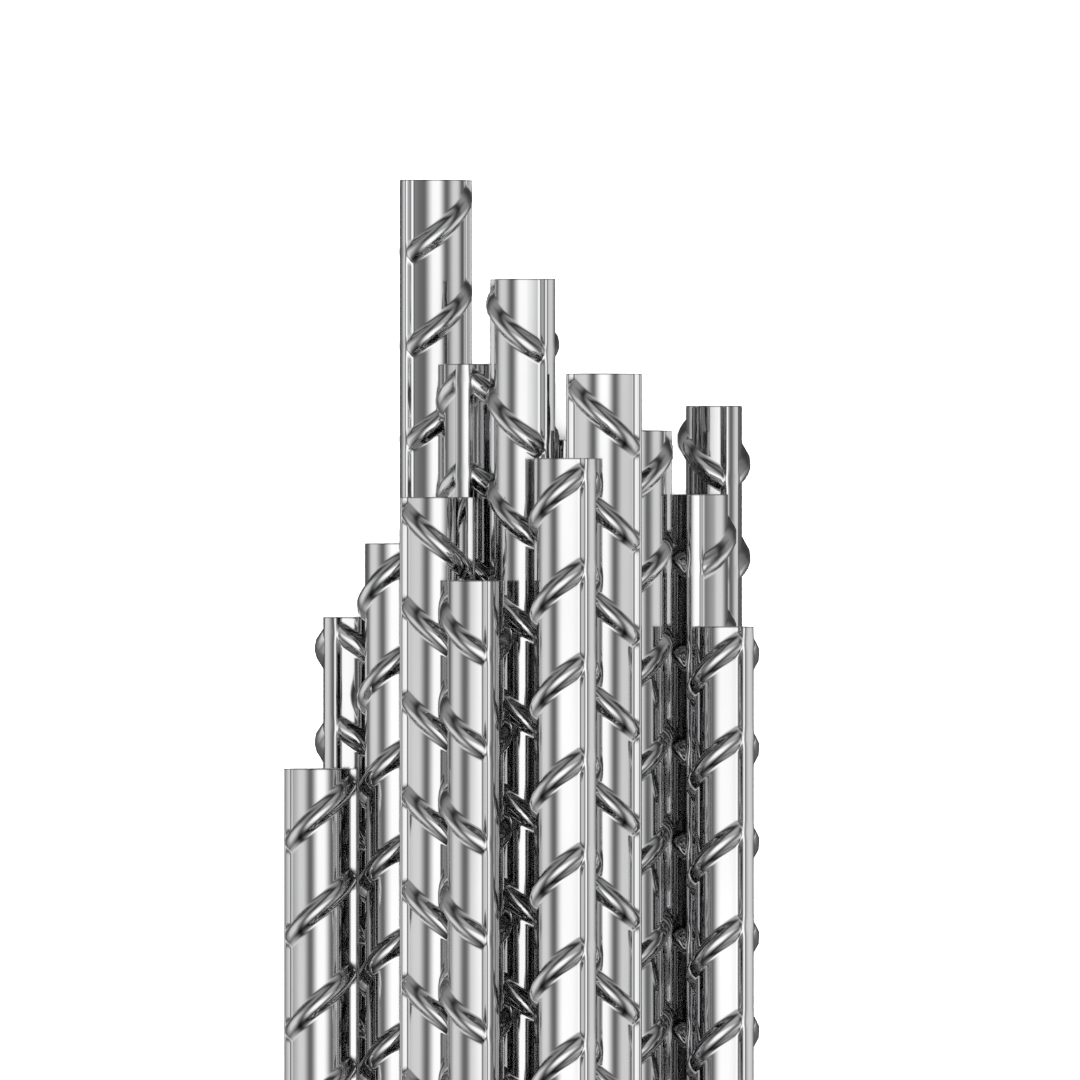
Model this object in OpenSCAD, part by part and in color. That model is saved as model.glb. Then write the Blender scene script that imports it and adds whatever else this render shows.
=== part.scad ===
// Bundle of straight ribbed reinforcing bars, lying on the floor and held by wire ties.
// +Y runs along the bars, +Z is up, and the origin is under the middle of the bundle, on the floor.
// Each bar is a plain round of the diameter over its ribs, so that bars meet crest to crest.

/* [Bars] */
// Length of each bar
bar_length = 2000; // [1000:50:6000]
// Diameter of a bar's core, between its ribs
core_d = 18.7; // [8:0.1:32]
// Height of the ribs above the core
rib_h = 3.4; // [0.5:0.1:4]
// Gap between neighbouring bars where their ribs meet
bar_clearance = 0.3; // [0.1:0.1:0.8]

/* [Wire ties] */
// Diameter of the tie wire
wire_d = 4; // [2:0.5:6]
// Gap between the wire and the bars that it is pulled against
wire_clearance = 0.3; // [0.2:0.1:0.8]
// Distance from the bundle's longest ends to the outer ties
tie_inset = 450; // [300:10:480]
// Number of ties
tie_count = 3; // [2:1:4]
// Length of the twisted tail, folded down along the bundle
tail_length = 45; // [20:1:90]

/* [Hidden] */
// The bars in the order in which they are laid down. The first number is the place across the
// bundle, counted in bar spacings to the right of the middle. The second is how many millimetres
// the front end lies behind the foremost one.
BARS = [
    [-2.24, 148],    // floor layer, from left to right
    [-1.13, 0],
    [-0.12, 75],
    [1.44, 95],
    [2.52, 76.5],
    [0.57, 88],      // second layer
    [-1.68, 123],
    [-0.65, 62.5],
    [2.33, 106.5],
    [-2.62, 199],    // third layer
    [0.01, 34],
    [-1.10, 107.5],
    [1.50, 85],
    [2.62, 151],
    [1.07, 66],      // top layer
    [-0.60, 135.5],
    [0.56, 94.5]
];
TIE_NAMES = [for (k = [1:tie_count]) str("wire_tie_", k)];
BAR_NAMES = [for (i = [1:len(BARS)]) str("bar_", i < 10 ? "0" : "", i)];

bar_d = core_d + 2 * rib_h;
spacing = bar_d + bar_clearance;
across = [for (bar = BARS) bar[0]];
setback = [for (bar = BARS) bar[1]];
middle = (min(across) + max(across)) / 2;
total_length = bar_length + max(setback) - min(setback);

// How high bar i comes to rest, in spacings, on the bars that were laid before it.
function rest_height(laid, i) = max(concat([0], [
    for (j = [0:1:i - 1])
        let (dx = across[i] - across[j])
        if (abs(dx) < 1) laid[j] + sqrt(1 - dx * dx)
]));
function lay_bars(laid = []) =
    len(laid) == len(BARS) ? laid : lay_bars(concat(laid, [rest_height(laid, len(laid))]));

// The floor layer lies on the wire that runs under it.
floor_layer_z = wire_d + wire_clearance + bar_d / 2;
HEIGHTS = lay_bars();
CENTRES = [
    for (i = [0:len(BARS) - 1])
        [(across[i] - middle) * spacing, floor_layer_z + HEIGHTS[i] * spacing]
];

// The bars that the taut wire touches, anticlockwise with +X to the right and +Z up.
function leftmost(points) =
    let (left = min([for (p = points) p[0]]))
    [for (p = points) if (p[0] == left) p][0];
function is_next(points, from, to) =
    min([for (p = points) cross(to - from, p - from)]) > -1e-6;
function farthest(from, points) =
    let (reach = [for (p = points) norm(p - from)])
    [for (k = [0:len(points) - 1]) if (reach[k] == max(reach)) points[k]][0];
function wrap(points, route) =
    let (from = route[len(route) - 1],
         to = farthest(from, [for (p = points) if (p != from && is_next(points, from, p)) p]))
    to == route[0] ? route : wrap(points, concat(route, [to]));

HULL = wrap(CENTRES, [leftmost(CENTRES)]);
wire_path_r = bar_d / 2 + wire_clearance + wire_d / 2;

// The wire's route: an arc round each touched bar, as [bar centre, angle of the outward direction].
arc_step = 15;
function facing(k) =
    let (run = HULL[(k + 1) % len(HULL)] - HULL[k])
    atan2(-run[0], run[1]);
function turn_at(k) =
    let (turn = facing(k) - facing((k + len(HULL) - 1) % len(HULL)))
    turn < 0 ? turn + 360 : turn;
ROUTE = [
    for (k = [0:len(HULL) - 1])
        let (steps = ceil(turn_at(k) / arc_step))
        for (s = [0:steps])
            [HULL[k], facing(k) - turn_at(k) * (1 - s / steps)]
];

wire_sides = 8;
function outward(angle) = [cos(angle), 0, sin(angle)];
function wire_ring(stop) = [
    for (k = [0:wire_sides - 1])
        let (a = 360 * k / wire_sides)
        [stop[0][0], 0, stop[0][1]]
            + (wire_path_r + wire_d / 2 * cos(a)) * outward(stop[1])
            + [0, wire_d / 2 * sin(a), 0]
];

// The tail lies on the right shoulder of the topmost bar, where the wire reaches it.
top_z = max([for (c = CENTRES) c[1]]);
top_k = [for (k = [0:len(HULL) - 1]) if (HULL[k][1] == top_z) k][0];
tail_facing = facing((top_k + len(HULL) - 1) % len(HULL));
tail_d = 2 * wire_d;

module bar(i) {
    color("silver")
        translate([CENTRES[i][0], total_length / 2 - (setback[i] - min(setback)), CENTRES[i][1]])
        rotate([90, 0, 0])
            cylinder(h = bar_length, d = bar_d, $fn = 64);
}

module tie_loop() {
    rings = len(ROUTE);
    polyhedron(
        points = [for (stop = ROUTE) each wire_ring(stop)],
        faces = [
            for (r = [0:rings - 1], k = [0:wire_sides - 1])
                let (next_r = (r + 1) % rings, next_k = (k + 1) % wire_sides)
                [
                    r * wire_sides + k,
                    next_r * wire_sides + k,
                    next_r * wire_sides + next_k,
                    r * wire_sides + next_k
                ]
        ]
    );
}

module tie_tail() {
    reach = bar_d / 2 + wire_clearance + tail_d / 2;
    translate([HULL[top_k][0], 0, HULL[top_k][1]] + reach * outward(tail_facing))
        rotate([-90, 0, 0])
            cylinder(h = tail_length, d = tail_d, $fn = 24);
}

module wire_tie(k) {
    free_run = total_length - 2 * tie_inset;
    color("dimgray")
        translate([0, total_length / 2 - tie_inset - free_run * k / (tie_count - 1), 0])
        union() {
            tie_loop();
            tie_tail();
        }
}

for (i = [0:len(BARS) - 1])
    bar(i);
for (k = [0:tie_count - 1])
    wire_tie(k);
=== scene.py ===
"""A bundle of bright ribbed reinforcing bars with twisted wire ties, on a pale floor under studio light."""

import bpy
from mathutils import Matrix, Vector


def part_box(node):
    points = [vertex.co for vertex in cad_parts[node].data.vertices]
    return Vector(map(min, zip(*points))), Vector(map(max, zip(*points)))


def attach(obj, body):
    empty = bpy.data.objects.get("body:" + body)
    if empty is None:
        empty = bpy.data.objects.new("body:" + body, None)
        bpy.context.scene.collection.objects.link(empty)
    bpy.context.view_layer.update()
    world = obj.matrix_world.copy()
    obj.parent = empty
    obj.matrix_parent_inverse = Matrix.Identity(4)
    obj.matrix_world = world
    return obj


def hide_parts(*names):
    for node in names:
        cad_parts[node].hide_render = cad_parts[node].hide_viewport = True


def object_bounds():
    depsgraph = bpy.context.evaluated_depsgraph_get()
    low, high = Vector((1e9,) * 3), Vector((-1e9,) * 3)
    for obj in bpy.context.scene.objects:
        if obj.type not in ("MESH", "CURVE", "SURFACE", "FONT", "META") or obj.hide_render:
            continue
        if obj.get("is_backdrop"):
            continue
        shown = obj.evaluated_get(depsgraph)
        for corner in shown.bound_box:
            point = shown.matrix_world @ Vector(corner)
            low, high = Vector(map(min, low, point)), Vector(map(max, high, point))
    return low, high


bl_info = {
    "name": "Rebar Bundle",
    "version": (1, 0, 0),
    "blender": (4, 5, 0),
    "location": "View3D > Sidebar > Rebar Bundle",
    "description": "Makes the ribbed bars, the wire ties and the studio around the bundle's frame",
    "category": "Object",
}

from math import asin, atan2, ceil, cos, pi, radians, sin, tau

import bpy
from bpy.props import FloatProperty, FloatVectorProperty, IntProperty, PointerProperty
from mathutils import Vector

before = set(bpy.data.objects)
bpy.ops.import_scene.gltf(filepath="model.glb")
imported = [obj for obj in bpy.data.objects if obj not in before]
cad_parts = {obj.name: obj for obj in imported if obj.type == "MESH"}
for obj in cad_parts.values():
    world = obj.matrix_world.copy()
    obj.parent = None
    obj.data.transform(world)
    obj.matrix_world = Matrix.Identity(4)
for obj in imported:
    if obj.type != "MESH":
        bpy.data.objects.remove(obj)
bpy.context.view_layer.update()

BAR_NODES = sorted(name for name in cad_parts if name.startswith("bar_"))
TIE_NODES = sorted(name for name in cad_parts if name.startswith("wire_tie_"))

# Each bar's roll in degrees from straight up towards +X, measured at the lengthwise rib where its
# cross ribs meet in a V.
BAR_ROLLS = {
    "bar_01": 145,
    "bar_02": -65,
    "bar_03": 20,
    "bar_04": 120,
    "bar_05": 30,
    "bar_06": -75,
    "bar_07": -140,
    "bar_08": 165,
    "bar_09": -10,
    "bar_10": -95,
    "bar_11": 50,
    "bar_12": 90,
    "bar_13": -60,
    "bar_14": -135,
    "bar_15": 90,
    "bar_16": 30,
    "bar_17": -135,
}

# Mesh steps over the stretches of a quarter of a bar's section, from a lengthwise rib's middle.
FACE_STEPS = 1
EDGE_STEPS = 2
FILLET_STEPS = 2
CORE_STEPS = 3
# Where the mesh rows over a cross rib lie, from its crest, as shares of its half width.
RIB_ROWS = (-1.07, -0.98, -0.81, -0.58, -0.2, 0.2, 0.58, 0.81, 0.98, 1.07)
# Rows at each end of a bar: its middle point, both edges of the chamfer and one more beside them.
END_ROWS = 4
END_MARGIN = 0.0004

# Points of a bar's mesh that lie closer than this are one point.
SEAM_GAP = 0.00001


class RebarBarSettings(bpy.types.PropertyGroup):
    """Sizes and colours of the ribbed bars"""

    rib_height: FloatProperty(
        name="Rib Height", description="Height of the ribs above the core", default=0.0034, unit="LENGTH"
    )
    rib_pitch: FloatProperty(
        name="Rib Pitch",
        description="Distance from one cross rib to the next",
        default=0.03175,
        unit="LENGTH",
    )
    rib_rise: FloatProperty(
        name="Rib Rise",
        description="How far a cross rib runs along the bar in half a turn",
        default=0.0229,
        unit="LENGTH",
    )
    rib_foot: FloatProperty(
        name="Rib Foot",
        description="Distance from a cross rib's crest to its foot, along the bar",
        default=0.0047,
        unit="LENGTH",
    )
    rib_foot_fillet: FloatProperty(
        name="Rib Foot Fillet",
        description="Radius of the hollow at a cross rib's foot, along the bar",
        default=0.0016,
        unit="LENGTH",
    )
    first_rib: FloatProperty(
        name="First Rib",
        description="Distance from the front end to the first V of the cross ribs",
        default=0.027,
        unit="LENGTH",
    )
    rib_sway: FloatProperty(
        name="Rib Sway",
        description="How far a cross rib strays from an even rise, a quarter of the way round",
        default=0.00055,
        unit="LENGTH",
    )
    v_rounding: FloatProperty(
        name="V Rounding",
        description="Turn from the middle of a V within which its two ribs bend towards each other",
        default=radians(14),
        unit="ROTATION",
    )
    spine_width: FloatProperty(
        name="Lengthwise Rib Width", description="Width of a lengthwise rib", default=0.0052, unit="LENGTH"
    )
    spine_edge: FloatProperty(
        name="Lengthwise Rib Edge",
        description="Radius of a lengthwise rib's edges",
        default=0.0009,
        unit="LENGTH",
    )
    spine_fillet: FloatProperty(
        name="Lengthwise Rib Fillet",
        description="Radius of the hollow beside a lengthwise rib",
        default=0.0012,
        unit="LENGTH",
    )
    shoulder_angle: FloatProperty(
        name="Shoulder Angle",
        description="Angle from a lengthwise rib's middle to where its flat shoulder meets the core",
        default=radians(39),
        unit="ROTATION",
    )
    cross_rib_share: FloatProperty(
        name="Cross Rib Share",
        description="Height of the cross ribs as a share of the lengthwise ribs' height",
        default=0.93,
        subtype="FACTOR",
    )
    end_chamfer: FloatProperty(
        name="End Chamfer",
        description="Size of the broken edge round each end",
        default=0.00012,
        unit="LENGTH",
    )
    steel_color: FloatVectorProperty(
        name="Bar Steel",
        description="Colour of the bright steel",
        default=(0.56, 0.56, 0.565),
        subtype="COLOR",
    )
    sawn_color: FloatVectorProperty(
        name="Sawn End", description="Colour of the sawn ends", default=(0.62, 0.62, 0.62), subtype="COLOR"
    )


class RebarTieSettings(bpy.types.PropertyGroup):
    """Sizes and colour of the wire ties"""

    wire_diameter: FloatProperty(
        name="Wire Diameter", description="Diameter of the tie wire", default=0.004, unit="LENGTH"
    )
    wire_clearance: FloatProperty(
        name="Wire Clearance",
        description="Gap between the wire and the bars",
        default=0.0003,
        unit="LENGTH",
    )
    twist_turns: FloatProperty(
        name="Twist Turns", description="Turns in the twisted tail", default=2.25
    )
    bend_radius: FloatProperty(
        name="Bend Radius",
        description="Bend where the wire turns into its tail",
        default=0.005,
        unit="LENGTH",
    )
    wire_sides: IntProperty(name="Wire Sides", description="Sides of the wire's section", default=12)
    wire_segment: FloatProperty(
        name="Wire Segment",
        description="Length of one straight step of the wire's mesh",
        default=0.0016,
        unit="LENGTH",
    )
    wire_color: FloatVectorProperty(
        name="Tie Wire",
        description="Colour of the annealed wire",
        default=(0.16, 0.155, 0.15),
        subtype="COLOR",
    )


class RebarStageSettings(bpy.types.PropertyGroup):
    """The camera's view, the floor and the light"""

    view_width: FloatProperty(
        name="View Width", description="Width that the camera sees", default=0.3637, unit="LENGTH"
    )
    view_center: FloatVectorProperty(
        name="View Centre",
        description="Middle of the view, from the middle of the bundle's front end",
        default=(0.0061, -0.1219, 0.0),
        subtype="TRANSLATION",
    )
    lens: FloatProperty(name="Lens", description="The camera's focal length in millimetres", default=800.0)
    floor_size: FloatProperty(
        name="Floor Size", description="Width of the floor", default=80.0, unit="LENGTH"
    )
    floor_color: FloatVectorProperty(
        name="Floor", description="Colour of the floor", default=(0.9, 0.9, 0.9), subtype="COLOR"
    )
    studio_strength: FloatProperty(
        name="Studio Strength", description="Strength of the bands that the steel reflects", default=1.85
    )
    top_core: FloatProperty(
        name="Top Light Core",
        description="Half the angle over which the top strip light is full",
        default=radians(8),
        unit="ROTATION",
    )
    top_edge: FloatProperty(
        name="Top Light Edge",
        description="Angle from straight up at which the top strip light is out",
        default=radians(45),
        unit="ROTATION",
    )
    top_strength: FloatProperty(
        name="Top Light",
        description="Strength of the top strip light",
        default=0.87,
    )
    side_angle: FloatProperty(
        name="Side Light Angle",
        description="Angle from straight up to each side strip light",
        default=radians(90),
        unit="ROTATION",
    )
    side_core: FloatProperty(
        name="Side Light Core",
        description="Half the angle over which a side strip light is full",
        default=radians(6),
        unit="ROTATION",
    )
    side_edge: FloatProperty(
        name="Side Light Edge",
        description="Angle from its middle at which a side strip light is out",
        default=radians(44),
        unit="ROTATION",
    )
    side_strength: FloatProperty(
        name="Side Lights",
        description="Strength of each side strip light",
        default=0.5,
    )
    fill_strength: FloatProperty(
        name="Fill",
        description="Strength of the fill between the strip lights",
        default=0.13,
    )
    under_strength: FloatProperty(
        name="Underside Fill",
        description="Strength of the fill straight below",
        default=0.03,
    )
    front_fade: FloatProperty(
        name="Front Fade",
        description="Share of their light that the strips lose past the front ends",
        default=0.65,
        subtype="FACTOR",
    )
    sun_strength: FloatProperty(
        name="Overhead Light", description="Strength of the light straight above", default=8.0
    )


class Value:
    """A number in a node tree that works in Python expressions"""

    def __init__(self, graph, socket):
        self.graph = graph
        self.socket = socket

    def __add__(self, other):
        return self.graph.math("ADD", self, other)

    __radd__ = __add__

    def __sub__(self, other):
        return self.graph.math("SUBTRACT", self, other)

    def __rsub__(self, other):
        return self.graph.math("SUBTRACT", other, self)

    def __mul__(self, other):
        return self.graph.math("MULTIPLY", self, other)

    __rmul__ = __mul__

    def __truediv__(self, other):
        return self.graph.math("DIVIDE", self, other)

    def __abs__(self):
        return self.graph.math("ABSOLUTE", self)

    def __lt__(self, other):
        return self.graph.math("LESS_THAN", self, other)

    def __gt__(self, other):
        return self.graph.math("GREATER_THAN", self, other)


class Graph:
    """A node tree that is filled by calls and expressions"""

    def __init__(self, tree):
        self.tree = tree
        tree.nodes.clear()

    def node(self, kind, settings=None, **sockets):
        """Adds a node of a kind, with its settings first and then the values or links of its inputs."""
        node = self.tree.nodes.new(kind)
        for name, setting in (settings or {}).items():
            setattr(node, name, setting)
        for name, value in sockets.items():
            self.feed(self.find(node, name), value)
        return node

    @staticmethod
    def find(node, name):
        """An input by its name, with _ for each space, or by its number as in in_0."""
        if name.startswith("in_"):
            return node.inputs[int(name[3:])]
        wanted = name.replace("_", " ").lower()
        for socket in node.inputs:
            if socket.enabled and socket.name.lower() == wanted:
                return socket
        raise KeyError(f"{node.bl_idname} has no input called {name}")

    def feed(self, socket, value):
        if isinstance(value, Value):
            value = value.socket
        if isinstance(value, bpy.types.NodeSocket):
            self.tree.links.new(value, socket)
        else:
            socket.default_value = value

    def out(self, node, name=0):
        return Value(self, node.outputs[name])

    def math(self, operation, *operands):
        node = self.tree.nodes.new("ShaderNodeMath")
        node.operation = operation
        for socket, operand in zip(node.inputs, operands):
            self.feed(socket, operand)
        return Value(self, node.outputs[0])

    def ramp(self, value, start, end):
        """0 where value is at start or before it, 1 at end or past it."""
        node = self.node(
            "ShaderNodeMapRange", value=value, from_min=start, from_max=end, to_min=0.0, to_max=1.0
        )
        return self.out(node)

    def split(self, vector):
        """The X, Y and Z of a vector."""
        node = self.node("ShaderNodeSeparateXYZ", in_0=vector)
        return [self.out(node, axis) for axis in "XYZ"]

    def join(self, x, y, z):
        node = self.node("ShaderNodeCombineXYZ", in_0=x, in_1=y, in_2=z)
        return node.outputs[0]

    def noise(self, vector, scale, detail=2.0, roughness=0.5):
        node = self.node(
            "ShaderNodeTexNoise", vector=vector, scale=scale, detail=detail, roughness=roughness
        )
        return self.out(node, "Fac")

    def mix_color(self, factor, color_a, color_b):
        node = self.node("ShaderNodeMix", {"data_type": "RGBA"}, in_0=factor, in_6=color_a, in_7=color_b)
        return node.outputs[2]


def rgba(color):
    return (*color, 1.0)


def new_material(name):
    material = bpy.data.materials.new(name)
    material.use_nodes = True
    return material, Graph(material.node_tree)


def stretched_coordinates(graph, stretch=(1.0, 1.0, 1.0)):
    """The piece's own coordinates, with each axis multiplied so that a pattern runs along one of them."""
    coordinates = graph.node("ShaderNodeTexCoord").outputs["Object"]
    return graph.node("ShaderNodeMapping", vector=coordinates, scale=stretch).outputs[0]


def finish_material(graph, base_color, roughness, height, bump_distance, metallic=1.0):
    bump = graph.node("ShaderNodeBump", strength=1.0, distance=bump_distance, height=height)
    shader = graph.node(
        "ShaderNodeBsdfPrincipled",
        base_color=base_color, metallic=metallic, roughness=roughness, normal=bump.outputs[0],
    )
    graph.node("ShaderNodeOutputMaterial", surface=shader.outputs[0])


def bar_steel_material(color):
    """Bright drawn steel: sharp reflections, with a fine grain along the bar."""
    material, graph = new_material("bright_bar_steel")
    grain_stretch = (1.0, 0.02, 1.0)
    grain_scale = 2600.0
    cloud_stretch = (1.0, 0.25, 1.0)
    cloud_scale = 45.0
    dull_share = 0.9
    grain_depth = 0.000002
    grain = graph.noise(stretched_coordinates(graph, grain_stretch), grain_scale, detail=3.0)
    clouds = graph.noise(stretched_coordinates(graph, cloud_stretch), cloud_scale, detail=4.0)
    darker = rgba([channel * dull_share for channel in color])
    base = graph.mix_color(graph.ramp(clouds, 0.3, 0.7), darker, rgba(color))
    roughness = 0.045 + 0.05 * clouds + 0.03 * grain
    finish_material(graph, base, roughness, grain, grain_depth)
    return material


def sawn_end_material(color):
    """A sawn end: duller steel with the blade's marks across it."""
    material, graph = new_material("sawn_bar_end")
    mark_stretch = (0.06, 1.0, 1.0)
    mark_scale = 1800.0
    cloud_scale = 160.0
    dull_share = 0.72
    mark_depth = 0.00006
    bare_share = 0.55
    marks = graph.noise(stretched_coordinates(graph, mark_stretch), mark_scale)
    clouds = graph.noise(stretched_coordinates(graph), cloud_scale, detail=3.0)
    darker = rgba([channel * dull_share for channel in color])
    base = graph.mix_color(graph.ramp(clouds * 0.5 + marks * 0.5, 0.35, 0.65), darker, rgba(color))
    roughness = 0.36 + 0.16 * clouds
    finish_material(graph, base, roughness, marks, mark_depth, metallic=bare_share)
    return material


def tie_wire_material(color):
    """Soft annealed wire: dark and satin, with a mottled scale that is rubbed brighter in places."""
    material, graph = new_material("annealed_tie_wire")
    scale_size = 420.0
    rubbed_size = 90.0
    rubbed_gain = 2.4
    scale_depth = 0.00008
    scale = graph.noise(stretched_coordinates(graph), scale_size, detail=4.0, roughness=0.6)
    rubbed = graph.noise(stretched_coordinates(graph), rubbed_size, detail=3.0)
    brighter = rgba([min(1.0, channel * rubbed_gain) for channel in color])
    base = graph.mix_color(graph.ramp(rubbed * 0.6 + scale * 0.4, 0.42, 0.66), rgba(color), brighter)
    roughness = 0.3 + 0.22 * scale
    finish_material(graph, base, roughness, scale, scale_depth)
    return material


def new_tree(name, inputs):
    """A Geometry Nodes tree with named inputs, and its graph and input values."""
    tree = bpy.data.node_groups.new(name, "GeometryNodeTree")
    tree.interface.new_socket("Geometry", in_out="INPUT", socket_type="NodeSocketGeometry")
    for label, kind in inputs.items():
        tree.interface.new_socket(label, in_out="INPUT", socket_type=kind)
    tree.interface.new_socket("Geometry", in_out="OUTPUT", socket_type="NodeSocketGeometry")
    graph = Graph(tree)
    source = graph.node("NodeGroupInput")
    return tree, graph, {label: Value(graph, source.outputs[label]) for label in ["Geometry", *inputs]}


def arc_points(center, radius, start, end, steps):
    """Points on an arc, without its start. Angles run from +Z towards +X, and points are (x, z)."""
    angles = [start + (end - start) * step / steps for step in range(1, steps + 1)]
    return [(center[0] + radius * sin(angle), center[1] + radius * cos(angle)) for angle in angles]


def section_outline(bars, radius):
    """A bar's section between its cross ribs, clockwise from the middle of the lengthwise rib on +Z."""
    core = radius - bars.rib_height
    half_width = bars.spine_width / 2
    edge = bars.spine_edge
    fillet = bars.spine_fillet
    shoulder = bars.shoulder_angle
    edge_angle = asin((half_width - edge) / (radius - edge))
    edge_center = ((radius - edge) * sin(edge_angle), (radius - edge) * cos(edge_angle))
    fillet_x = half_width + fillet
    fillet_z = (core + fillet - fillet_x * sin(shoulder)) / cos(shoulder)
    quarter = [(0.0, radius)]
    quarter += arc_points((0, 0), radius, 0, edge_angle, FACE_STEPS)
    quarter += arc_points(edge_center, edge, edge_angle, pi / 2, EDGE_STEPS)
    quarter.append((half_width, fillet_z))
    quarter += arc_points((fillet_x, fillet_z), fillet, 3 * pi / 2, pi + shoulder, FILLET_STEPS)
    flat_start = quarter[-1]
    flat_end = (core * sin(shoulder), core * cos(shoulder))
    # One more point near the shoulder's start keeps the rest of it flat under smooth shading.
    near_start = 0.12
    quarter.append(tuple(a + (b - a) * near_start for a, b in zip(flat_start, flat_end)))
    quarter.append(flat_end)
    quarter += arc_points((0, 0), core, shoulder, pi / 2, CORE_STEPS)
    half = quarter + [(x, -z) for x, z in quarter[-2::-1]]
    return half + [(-x, z) for x, z in half[-2:0:-1]]


def ribbed_bar_tree():
    """Wraps a grid round the bar: its columns follow the section, and its rows follow the cross ribs."""
    tree, graph, given = new_tree("Ribbed Bar", {
        "Front End": "NodeSocketVector",
        "Length": "NodeSocketFloat",
        "Radius": "NodeSocketFloat",
        "Roll": "NodeSocketFloat",
        "Section Points": "NodeSocketInt",
        "Ribs": "NodeSocketInt",
        "Rib Height": "NodeSocketFloat",
        "Rib Pitch": "NodeSocketFloat",
        "Rib Rise": "NodeSocketFloat",
        "Rib Sway": "NodeSocketFloat",
        "V Rounding": "NodeSocketFloat",
        "Rib Foot": "NodeSocketFloat",
        "Rib Foot Fillet": "NodeSocketFloat",
        "First Rib": "NodeSocketFloat",
        "Cross Rib Share": "NodeSocketFloat",
        "End Chamfer": "NodeSocketFloat",
        "Bar Steel": "NodeSocketMaterial",
        "Sawn End": "NodeSocketMaterial",
    })
    columns = given["Section Points"]
    rows = given["Ribs"] * len(RIB_ROWS) + 2 * END_ROWS
    grid = graph.node(
        "GeometryNodeMeshGrid", size_x=columns, size_y=rows - 1, vertices_x=columns + 1, vertices_y=rows
    )
    position = graph.node("GeometryNodeInputPosition").outputs[0]
    column, row, _ = graph.split(position)
    column = graph.math("ROUND", column + columns * 0.5)
    row = graph.math("ROUND", row + (rows - 1) * 0.5)

    # The section's own point for this column, as its angle from the V rib and its height.
    sample = graph.node(
        "GeometryNodeSampleIndex",
        {"data_type": "FLOAT_VECTOR"},
        geometry=given["Geometry"], value=position, index=graph.math("MODULO", column, columns),
    )
    section_x, _, section_z = graph.split(sample.outputs[0])
    angle = graph.math("ARCTAN2", section_x, section_z)
    section_radius = graph.math("SQRT", section_x * section_x + section_z * section_z)
    core_radius = given["Radius"] - given["Rib Height"]
    spine_height = (section_radius - core_radius) / given["Rib Height"]

    # The distance from the front end. Each row keeps its place on its cross rib as that rib rises.
    rounded = graph.math("SQRT", angle * angle + given["V Rounding"] * given["V Rounding"])
    rise = given["Rib Rise"] * rounded / pi - given["Rib Sway"] * graph.math("SINE", 2 * abs(angle))
    rib_row = row - END_ROWS
    rib = graph.math("FLOOR", (rib_row + 0.5) / len(RIB_ROWS))
    steps = [(1, after - before) for before, after in zip(RIB_ROWS, RIB_ROWS[1:])]
    across_rib = add_runs(graph, rib_row - rib * len(RIB_ROWS), steps) + RIB_ROWS[0]
    station = given["First Rib"] + rib * given["Rib Pitch"] + across_rib * given["Rib Foot"] - rise
    station = graph.math("MAXIMUM", 0.0, station) * (row > END_ROWS - 0.5)
    behind = row > rows - END_ROWS - 0.5
    station = station + behind * given["Length"]
    from_end = graph.math("MINIMUM", row, rows - 1 - row)
    on_chamfer = graph.ramp(from_end, 0, 1)
    on_side = graph.ramp(from_end, 1, 2)
    end_distance = given["End Chamfer"] * on_side + END_MARGIN * graph.ramp(from_end, 2, 3)
    along = graph.math("MINIMUM", given["Length"] - end_distance, station)
    along = graph.math("MAXIMUM", end_distance, along)

    # A cross rib has a round crest and hollow feet, and runs into the lengthwise ribs.
    offset = along + rise - given["First Rib"]
    from_crest = abs(graph.math("PINGPONG", offset, given["Rib Pitch"] * 0.5))
    crest_height = given["Rib Height"] * given["Cross Rib Share"]
    foot = given["Rib Foot"]
    steepness = crest_height / foot
    both_radii = foot * (1 + steepness * steepness) / (2 * steepness)
    hollow_radius = given["Rib Foot Fillet"]
    crest_radius = both_radii - hollow_radius
    crest = crest_height - crest_radius + root(graph, crest_radius, from_crest)
    hollow = hollow_radius - root(graph, hollow_radius, graph.math("MAXIMUM", 0.0, foot - from_crest))
    on_crest = from_crest < crest_radius * foot / both_radii
    cross_height = (crest * on_crest + hollow * (1 - on_crest)) / given["Rib Height"]
    junction_blend = 0.3
    height = graph.math("SMOOTH_MAX", cross_height, spine_height, junction_blend)
    height = graph.math("MINIMUM", height, graph.math("MAXIMUM", 1.0, spine_height))
    radius = core_radius + given["Rib Height"] * height
    radius = (radius - given["End Chamfer"] * (1 - on_side)) * on_chamfer

    turn = given["Roll"] + angle
    front_x, front_y, front_z = graph.split(given["Front End"])
    place = graph.join(
        front_x + radius * graph.math("SINE", turn),
        front_y - along,
        front_z + radius * graph.math("COSINE", turn),
    )
    bar = graph.node("GeometryNodeSetPosition", geometry=grid.outputs["Mesh"], position=place)
    bar = graph.node("GeometryNodeMergeByDistance", geometry=bar.outputs[0], distance=SEAM_GAP)
    bar = graph.node("GeometryNodeFlipFaces", mesh=bar.outputs[0])
    bar = graph.node("GeometryNodeSetShadeSmooth", {"domain": "FACE"}, geometry=bar.outputs[0])
    normal = graph.split(graph.node("GeometryNodeInputNormal").outputs[0])
    squarely = 0.99
    on_end = abs(normal[1]) > squarely
    bar = graph.node(
        "GeometryNodeSetShadeSmooth",
        {"domain": "FACE"},
        geometry=bar.outputs[0], selection=on_end, shade_smooth=False,
    )
    bar = graph.node("GeometryNodeRealizeInstances", geometry=bar.outputs[0])
    bar = graph.node("GeometryNodeSetMaterial", geometry=bar.outputs[0], material=given["Bar Steel"])
    bar = graph.node(
        "GeometryNodeSetMaterial",
        geometry=bar.outputs[0], selection=on_end, material=given["Sawn End"],
    )
    graph.node("NodeGroupOutput", geometry=bar.outputs[0])
    return tree


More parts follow.
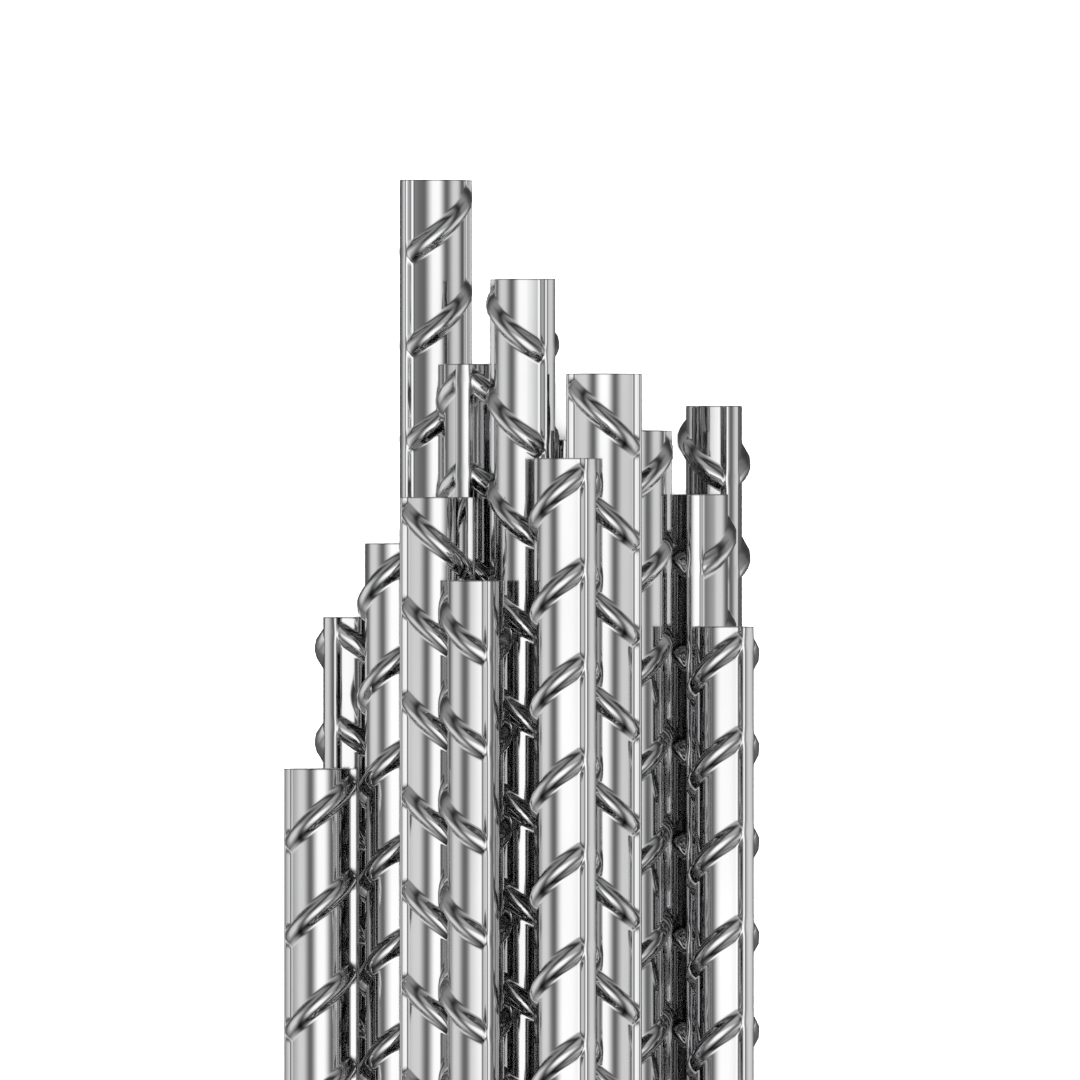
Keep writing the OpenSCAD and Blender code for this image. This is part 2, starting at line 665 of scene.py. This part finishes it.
def root(graph, radius, distance):
    """How high a circle of that radius is over its middle, at a distance from it."""
    return graph.math("SQRT", graph.math("MAXIMUM", 0.0, radius * radius - distance * distance))


def add_runs(graph, step, runs):
    """A length that grows evenly over each run of steps. Each run is its steps and its length."""
    total = 0.0
    start = 0
    for steps, length in runs:
        total = graph.ramp(step, start, start + steps) * length + total
        start += steps
    return total


def wire_tree():
    """Sweeps a round section along the wire's route and closes its cut ends."""
    tree, graph, given = new_tree("Tie Wire", {
        "Wire Radius": "NodeSocketFloat",
        "Sides": "NodeSocketInt",
        "Segment": "NodeSocketFloat",
        "Finish": "NodeSocketMaterial",
    })
    route = graph.node("GeometryNodeMeshToCurve", mesh=given["Geometry"])
    route = graph.node(
        "GeometryNodeResampleCurve", {"mode": "LENGTH"}, curve=route.outputs[0], length=given["Segment"]
    )
    section = graph.node(
        "GeometryNodeCurvePrimitiveCircle", resolution=given["Sides"], radius=given["Wire Radius"]
    )
    wire = graph.node(
        "GeometryNodeCurveToMesh",
        curve=route.outputs[0], profile_curve=section.outputs[0], fill_caps=True,
    )
    wire = graph.node("GeometryNodeSetShadeSmooth", {"domain": "FACE"}, geometry=wire.outputs[0])
    sharp_angle = radians(50)
    edge_angle = graph.out(graph.node("GeometryNodeInputMeshEdgeAngle"), "Unsigned Angle")
    wire = graph.node(
        "GeometryNodeSetShadeSmooth",
        {"domain": "EDGE"},
        geometry=wire.outputs[0], selection=edge_angle > sharp_angle, shade_smooth=False,
    )
    wire = graph.node("GeometryNodeRealizeInstances", geometry=wire.outputs[0])
    wire = graph.node("GeometryNodeSetMaterial", geometry=wire.outputs[0], material=given["Finish"])
    graph.node("NodeGroupOutput", geometry=wire.outputs[0])
    return tree


def grown_piece(name, base_mesh, tree, inputs):
    """An object whose plain mesh is what the tree makes of base_mesh."""
    piece = bpy.data.objects.new(name, base_mesh)
    bpy.context.scene.collection.objects.link(piece)
    modifier = piece.modifiers.new(tree.name, "NODES")
    modifier.node_group = tree
    identifiers = {
        item.name: item.identifier for item in tree.interface.items_tree if item.in_out == "INPUT"
    }
    for label, value in inputs.items():
        modifier[identifiers[label]] = value
    bpy.context.view_layer.update()
    grown = bpy.data.meshes.new_from_object(piece.evaluated_get(bpy.context.evaluated_depsgraph_get()))
    piece.modifiers.clear()
    drop_empty_slots(grown)
    piece.data = grown
    grown.name = name
    bpy.data.meshes.remove(base_mesh)
    return piece


def drop_empty_slots(mesh):
    for slot in reversed(range(len(mesh.materials))):
        if mesh.materials[slot] is None:
            mesh.materials.pop(index=slot)


def bar_line(node):
    """A bar's front end, its radius and its length, from its box."""
    low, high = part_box(node)
    radius = (high.x - low.x) / 2
    front = Vector(((low.x + high.x) / 2, high.y, (low.z + high.z) / 2))
    return front, radius, high.y - low.y


class REBAR_OT_make_bars(bpy.types.Operator):
    """Make every ribbed bar of the bundle"""

    bl_idname = "rebar.make_bars"
    bl_label = "Ribbed Bars"

    def execute(self, context):
        bars = context.scene.rebar_bars
        tree = ribbed_bar_tree()
        steel = bar_steel_material(bars.steel_color)
        sawn = sawn_end_material(bars.sawn_color)
        for node in BAR_NODES:
            front, radius, length = bar_line(node)
            outline = [(x, 0, z) for x, z in section_outline(bars, radius)]
            section = bpy.data.meshes.new(node)
            section.from_pydata(outline, [], [])
            piece = grown_piece(node + "_ribbed", section, tree, {
                "Section Points": len(outline),
                "Front End": front,
                "Length": length,
                "Radius": radius,
                "Roll": radians(BAR_ROLLS[node]),
                "Rib Height": bars.rib_height,
                "Rib Pitch": bars.rib_pitch,
                "Rib Rise": bars.rib_rise,
                "Rib Sway": bars.rib_sway,
                "V Rounding": bars.v_rounding,
                "Rib Foot": bars.rib_foot,
                "Rib Foot Fillet": bars.rib_foot_fillet,
                "First Rib": bars.first_rib,
                "Cross Rib Share": bars.cross_rib_share,
                "End Chamfer": bars.end_chamfer,
                "Ribs": ceil((length + bars.rib_rise - bars.first_rib) / bars.rib_pitch),
                "Bar Steel": steel,
                "Sawn End": sawn,
            })
            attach(piece, "root")
            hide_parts(node)
        return {"FINISHED"}


def side_of(here, ahead, point):
    """Positive where the point lies to the left of the way from here to ahead."""
    run = (ahead[0] - here[0], ahead[1] - here[1])
    away = (point[0] - here[0], point[1] - here[1])
    return run[0] * away[1] - run[1] * away[0]


def hull_of(points):
    """The points that a taut wire round them touches, anticlockwise from the leftmost."""
    start = min(points)
    hull = [start]
    while True:
        here = hull[-1]
        following = None
        for point in points:
            if point == here:
                continue
            if following is None:
                following = point
                continue
            if side_of(here, following, point) < 0:
                following = point
        if following == start:
            return hull
        hull.append(following)


def facing(start, end):
    """The outward direction of a straight run of the wire, as an angle from +X towards +Z."""
    return atan2(start[0] - end[0], end[1] - start[1])


def tie_route(ties, centers, bar_radius, low, high):
    """The points of one continuous wire: down its tail, round the bundle and back up its tail."""
    wire_radius = ties.wire_diameter / 2
    path_radius = bar_radius + ties.wire_clearance + wire_radius
    lifted_radius = path_radius + wire_radius
    hull = hull_of(centers)
    top = hull.index(max(hull, key=lambda center: center[1]))
    hull = hull[top:] + hull[:top]
    facings = [facing(hull[k - 1], hull[k]) for k in range(len(hull))]
    tail_facing = facings[0]
    normal = Vector((cos(tail_facing), 0, sin(tail_facing)))
    tangent = Vector((-sin(tail_facing), 0, cos(tail_facing)))
    crown = Vector((hull[0][0], 0, hull[0][1]))
    plane = low.y + wire_radius
    bend = ties.bend_radius
    tip = high.y - wire_radius
    foot = plane + bend

    def around(center, angle, radius, y):
        return Vector((center[0] + radius * cos(angle), y, center[1] + radius * sin(angle)))

    twist_steps = 48
    strands = []
    for phase in (0.0, pi):
        strand = []
        for step in range(twist_steps + 1):
            share = step / twist_steps
            angle = phase + tau * ties.twist_turns * share
            aside = wire_radius * (cos(angle) * tangent + sin(angle) * normal)
            place = crown + lifted_radius * normal + aside
            strand.append(Vector((place.x, foot + (tip - foot) * share, place.z)))
        strands.append(strand)

    bend_steps = 6
    leaving = []
    arriving = []
    for step in range(1, bend_steps + 1):
        turn = pi / 2 * step / bend_steps
        reach = wire_radius + bend * (1 - cos(turn))
        y = plane + bend * (1 - sin(turn))
        sink = lifted_radius + (path_radius - lifted_radius) * step / bend_steps
        leaving.append(around(hull[0], tail_facing + reach / path_radius, sink, y))
        arriving.append(crown + sink * normal - reach * tangent + Vector((0, y, 0)))

    arc_step = radians(7.5)
    loop = []
    for k, center in enumerate(hull):
        start = facings[k]
        end = facings[(k + 1) % len(hull)]
        if k == 0:
            start += (wire_radius + bend) / path_radius
        sweep = (end - start) % tau
        steps = ceil(sweep / arc_step)
        first = 1 if k == 0 else 0
        angles = [start + sweep * step / steps for step in range(first, steps + 1)]
        loop += [around(center, angle, path_radius, plane) for angle in angles]
    return strands[0][::-1] + leaving + loop + arriving[::-1] + strands[1]


class REBAR_OT_make_ties(bpy.types.Operator):
    """Make the wire ties, each one wire with its ends twisted together"""

    bl_idname = "rebar.make_ties"
    bl_label = "Wire Ties"

    def execute(self, context):
        ties = context.scene.rebar_ties
        tree = wire_tree()
        finish = tie_wire_material(ties.wire_color)
        lines = [bar_line(node) for node in BAR_NODES]
        centers = [(front.x, front.z) for front, _, _ in lines]
        for node in TIE_NODES:
            low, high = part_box(node)
            route = tie_route(ties, centers, lines[0][1], low, high)
            path = bpy.data.meshes.new(node)
            path.from_pydata(route, [(k, k + 1) for k in range(len(route) - 1)], [])
            piece = grown_piece(node + "_twisted", path, tree, {
                "Wire Radius": ties.wire_diameter / 2,
                "Sides": ties.wire_sides,
                "Segment": ties.wire_segment,
                "Finish": finish,
            })
            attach(piece, "root")
            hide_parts(node)
        return {"FINISHED"}


def strip_light(graph, tilt, angle, core, edge, strength):
    """A long strip light, seen at an angle: full across its core, then softly out to its edge."""
    fade = graph.ramp(abs(tilt - angle), core, edge)
    return strength * (0.5 + 0.5 * graph.math("COSINE", fade * pi))


def studio_world(stage):
    """Strip lights that run along the bars, one above them and one at each side, and a dim fill."""
    world = bpy.data.worlds.new("studio")
    world.use_nodes = True
    graph = Graph(world.node_tree)
    direction = graph.node("ShaderNodeTexCoord").outputs["Generated"]
    x, y, z = graph.split(direction)
    tilt = abs(graph.math("ARCTAN2", x, z))
    above = strip_light(graph, tilt, 0.0, stage.top_core, stage.top_edge, stage.top_strength)
    beside = strip_light(
        graph, tilt, stage.side_angle, stage.side_core, stage.side_edge, stage.side_strength
    )
    # The fill dims towards the underside.
    dims_from = radians(125)
    dimming = (stage.fill_strength - stage.under_strength) * graph.ramp(tilt, dims_from, pi)
    level = above + beside + stage.fill_strength - dimming
    # Along the bars, by the direction's lean from the rear ends at -1 to the front ends at 1: the
    # strips stay full far to the rear, fade soon to the front and leave a faint glow at both ends.
    rear_out = -0.95
    rear_full = -0.55
    front_faded = 0.45
    tip_start = 0.8
    tip_loss = 0.85
    glow = 0.03
    rear = graph.ramp(y, rear_out, rear_full)
    front = 1 - stage.front_fade * graph.ramp(y, 0.0, front_faded)
    tip = 1 - tip_loss * graph.ramp(y, tip_start, 1.0)
    share = glow + (1 - glow) * rear * front * tip
    seen = graph.node("ShaderNodeBackground", color=level * share, strength=stage.studio_strength)
    plain = graph.node("ShaderNodeBackground", color=rgba((1.0, 1.0, 1.0)), strength=1.0)
    to_camera = graph.node("ShaderNodeLightPath").outputs["Is Camera Ray"]
    mixed = graph.node("ShaderNodeMixShader", in_0=to_camera, in_1=seen.outputs[0], in_2=plain.outputs[0])
    graph.node("ShaderNodeOutputWorld", surface=mixed.outputs[0])
    return world


def pale_floor(size, color):
    mesh = bpy.data.meshes.new("floor")
    half = size / 2
    corners = [(-half, -half, 0), (half, -half, 0), (half, half, 0), (-half, half, 0)]
    mesh.from_pydata(corners, [], [(0, 1, 2, 3)])
    floor = bpy.data.objects.new("floor", mesh)
    bpy.context.scene.collection.objects.link(floor)
    material, graph = new_material("pale_floor")
    shader = graph.node("ShaderNodeBsdfPrincipled", base_color=rgba(color), roughness=0.9)
    graph.node("ShaderNodeOutputMaterial", surface=shader.outputs[0])
    mesh.materials.append(material)
    floor.visible_glossy = False
    floor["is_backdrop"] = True


def overhead_light(strength):
    light = bpy.data.lights.new("overhead", "SUN")
    light.energy = strength
    light.angle = radians(10)
    lamp = bpy.data.objects.new("overhead", light)
    lamp.location = (0, 0, 3)
    lamp.visible_glossy = False
    bpy.context.scene.collection.objects.link(lamp)


class REBAR_OT_make_stage(bpy.types.Operator):
    """Make the floor, the light, the studio and the camera"""

    bl_idname = "rebar.make_stage"
    bl_label = "Stage"

    def execute(self, context):
        scene = context.scene
        stage = scene.rebar_stage
        pale_floor(stage.floor_size, stage.floor_color)
        overhead_light(stage.sun_strength)
        scene.world = studio_world(stage)
        scene.view_settings.view_transform = "Standard"

        low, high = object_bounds()
        view = bpy.data.cameras.new("camera")
        view.lens = stage.lens
        view.clip_start = 0.1
        view.clip_end = 400.0
        camera = bpy.data.objects.new("camera", view)
        distance = stage.view_width * view.lens / view.sensor_width
        middle = Vector(((low[0] + high[0]) / 2, high[1], (low[2] + high[2]) / 2))
        camera.location = middle + Vector(stage.view_center) + Vector((0, 0, distance))
        scene.collection.objects.link(camera)
        scene.camera = camera
        return {"FINISHED"}


class REBAR_PT_panel(bpy.types.Panel):
    """Lists the steps that make the bundle"""

    bl_idname = "REBAR_PT_panel"
    bl_label = "Rebar Bundle"
    bl_space_type = "VIEW_3D"
    bl_region_type = "UI"
    bl_category = "Rebar Bundle"

    def draw(self, context):
        scene = context.scene
        for operator, settings in STEPS:
            box = self.layout.box()
            box.operator(operator.bl_idname)
            for name in getattr(scene, settings).bl_rna.properties.keys():
                if name not in ("rna_type", "name"):
                    box.prop(getattr(scene, settings), name)


STEPS = [
    (REBAR_OT_make_stage, "rebar_stage"),
    (REBAR_OT_make_bars, "rebar_bars"),
    (REBAR_OT_make_ties, "rebar_ties"),
]
SETTINGS = {
    "rebar_stage": RebarStageSettings,
    "rebar_bars": RebarBarSettings,
    "rebar_ties": RebarTieSettings,
}
CLASSES = [*SETTINGS.values(), *[operator for operator, _ in STEPS], REBAR_PT_panel]


def register():
    for item in CLASSES:
        bpy.utils.register_class(item)
    for name, group in SETTINGS.items():
        setattr(bpy.types.Scene, name, PointerProperty(type=group))


def unregister():
    for name in SETTINGS:
        delattr(bpy.types.Scene, name)
    for item in reversed(CLASSES):
        bpy.utils.unregister_class(item)


def main():
    register()
    bpy.ops.rebar.make_stage()
    bpy.ops.rebar.make_bars()
    bpy.ops.rebar.make_ties()


if __name__ == "__main__":
    main()
